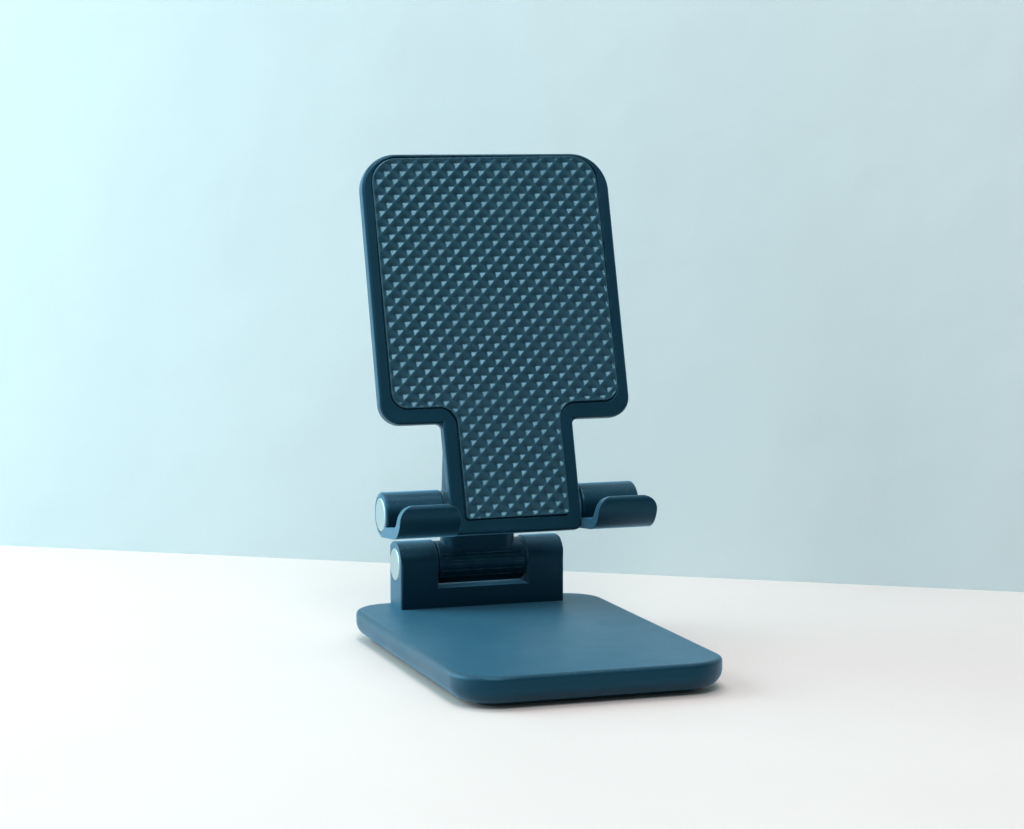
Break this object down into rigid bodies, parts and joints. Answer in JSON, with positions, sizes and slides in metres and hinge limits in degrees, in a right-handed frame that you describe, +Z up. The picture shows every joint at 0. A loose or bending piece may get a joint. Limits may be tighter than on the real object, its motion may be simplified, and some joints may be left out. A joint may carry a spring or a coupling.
{
  "type": "foldable phone stand",
  "caption": "Foldable phone stand: weighted flat base, leaning telescopic arm, tilting T-shaped holder with a grip pad, and fold-out hooks that carry the phone.",
  "frame": {"origin": "middle of the base's footprint, on the table surface", "axes": "+X to the right seen from the front, +Y to the back, +Z up; the phone faces -Y"},
  "size_m": [0.078, 0.116, 0.145],
  "materials": {
    "base_plastic": "fine matte texture",
    "cover_plastic": "matte",
    "plain_steel": "plain, lightly brushed",
    "foot_rubber": "soft matte",
    "screw_steel": "zinc plated",
    "hinge_plastic": "satin",
    "silver_cap": "satin, brushed",
    "arm_plastic": "satin",
    "slide_plastic": "satin",
    "holder_plastic": "fine matte texture",
    "silicone": "raised weave pattern, slightly shiny",
    "hook_plastic": "fine matte texture"
  },
  "bodies": {
    "base": {"base_shell": "base_plastic", "base_cover": "cover_plastic", "base_weight": "plain_steel", "base_pad": "foot_rubber", "base_screws": "screw_steel", "hinge_block": "hinge_plastic", "block_screws": "screw_steel", "lower_shaft": "plain_steel", "lower_washers": "plain_steel", "lower_caps": "silver_cap"},
    "arm": {"arm_sleeve": "arm_plastic", "sleeve_collar": "cover_plastic"},
    "slide": {"arm_slide": "slide_plastic", "slide_spring": "plain_steel"},
    "holder": {"upper_bolt": "screw_steel", "upper_washers": "plain_steel", "upper_nut": "screw_steel", "holder_front": "holder_plastic", "holder_back": "holder_plastic", "holder_screws": "screw_steel", "holder_pad": "silicone", "hook_bar": "plain_steel", "hook_washers": "plain_steel"},
    "left_hook": {"hook_left": "hook_plastic", "hook_cap_left": "silver_cap"},
    "right_hook": {"hook_right": "hook_plastic", "hook_cap_right": "silver_cap"}
  },
  "joints": [
    {"name": "arm_fold", "type": "hinge", "parent": "base", "child": "arm", "pos_m": [0, 0.051, 0.022], "axis": [1, 0, 0], "range_deg": [-4, 84]},
    {"name": "height_slide", "type": "slide", "parent": "arm", "child": "slide", "axis": [0, -0.1045, 0.9945], "range_m": [-0.024, 0]},
    {"name": "holder_tilt", "type": "hinge", "parent": "slide", "child": "holder", "pos_m": [0, 0.04301, 0.09798], "axis": [1, 0, 0], "range_deg": [-158, 8]},
    {"name": "left_hook_fold", "type": "hinge", "parent": "holder", "child": "left_hook", "pos_m": [0, 0.02075, 0.04198], "axis": [-1, 0, 0], "range_deg": [0, 100.8]},
    {"name": "right_hook_fold", "type": "hinge", "parent": "holder", "child": "right_hook", "pos_m": [0, 0.02075, 0.04198], "axis": [-1, 0, 0], "range_deg": [0, 100.8]}
  ],
  "couplings": [
    {"joint": "holder_tilt", "follows": "arm_fold", "ratio": -1.877}
  ]
}
